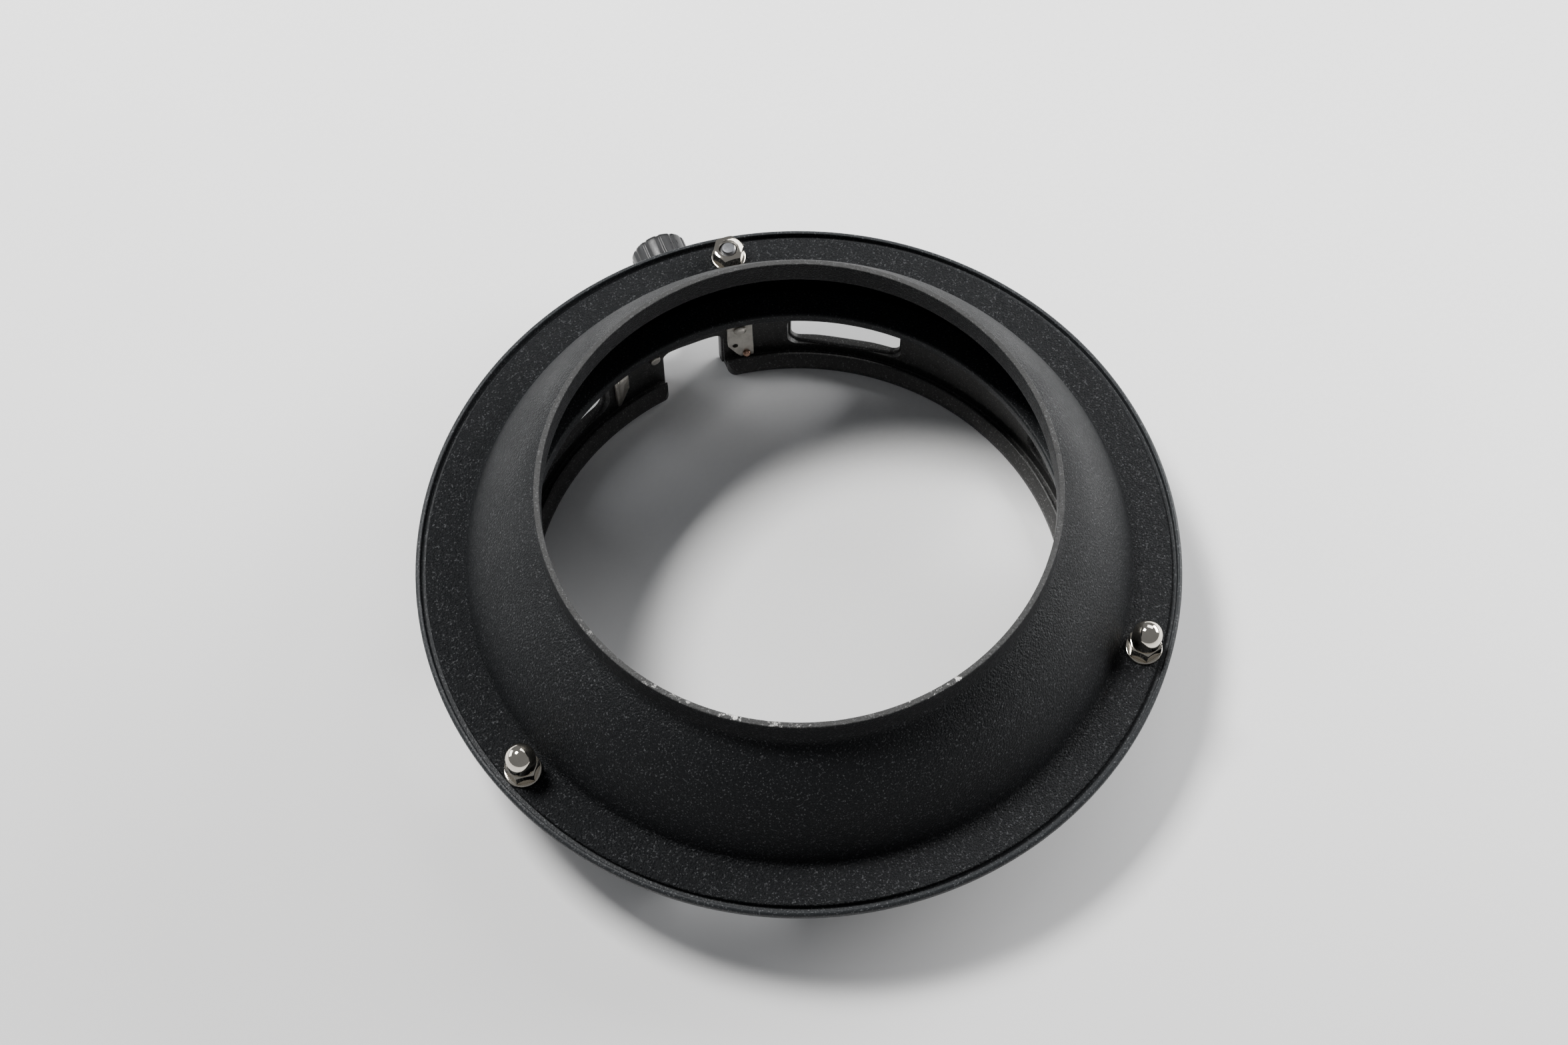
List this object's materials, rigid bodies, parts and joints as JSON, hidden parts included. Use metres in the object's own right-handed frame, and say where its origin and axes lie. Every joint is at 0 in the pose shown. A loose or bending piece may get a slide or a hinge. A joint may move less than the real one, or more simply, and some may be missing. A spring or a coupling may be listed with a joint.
{
  "type": "snoot",
  "caption": "Short flared snoot for a studio flash head: spun cone with a round mouth, bolted into a backing ring that turns on a slotted mount ring and locks with a thumb screw.",
  "frame": {"origin": "on the rings' axis, in the plane of the mount ring's seat face, which is the face it rests on", "axes": "+Z along the light's axis towards the mouth, +Y from the axis to the lock screw's knob"},
  "size_m": [0.18, 0.1877, 0.0587],
  "materials": {
    "crackle_black": "fine crackle powder coat on spun aluminium",
    "satin_black": "satin black coat on a pressed ring",
    "cast_black": "satin black coat on a die-cast ring",
    "nickel": "polished nickel plate",
    "dull_nickel": "dull nickel plate",
    "zinc_steel": "dark zinc-plated steel",
    "copper": "bare copper contact stud",
    "brass": "turned brass",
    "black_plastic": "moulded, glossy on the crests",
    "nylon": "natural nylon"
  },
  "bodies": {
    "mount": {"mount_ring": "cast_black", "grip_spring_1": "dull_nickel", "grip_spring_2": "dull_nickel", "grip_spring_3": "dull_nickel", "spring_rivet_1": "dull_nickel", "spring_rivet_2": "dull_nickel", "spring_rivet_3": "dull_nickel", "grip_stud_1": "copper", "grip_stud_2": "copper", "grip_stud_3": "copper", "stop_tab": "dull_nickel", "stop_rivet": "dull_nickel", "stop_pin": "dull_nickel"},
    "head": {"backing_ring": "satin_black", "snoot_cone": "crackle_black", "screw_insert": "brass", "retaining_clip_1": "nickel", "retaining_clip_2": "nickel", "retaining_clip_3": "nickel", "clip_bolt_1": "zinc_steel", "clip_bolt_2": "zinc_steel", "clip_bolt_3": "zinc_steel", "flat_washer_1": "nickel", "flat_washer_2": "nickel", "flat_washer_3": "nickel", "cap_nut_1": "nickel", "hex_nut_2": "nickel", "cap_nut_3": "nickel", "pressure_pad": "nylon"},
    "lock_screw": {"lock_knob": "black_plastic", "lock_stud": "zinc_steel"}
  },
  "joints": [
    {"name": "head_turn", "type": "hinge", "parent": "mount", "child": "head", "pos_m": [0, 0, 0.021], "axis": [0, 0, 1], "continuous": true},
    {"name": "lock_turn", "type": "hinge", "parent": "head", "child": "lock_screw", "pos_m": [0, 0.089, 0.0163], "axis": [0, 1, 0], "range_deg": [-105, 1095]}
  ]
}
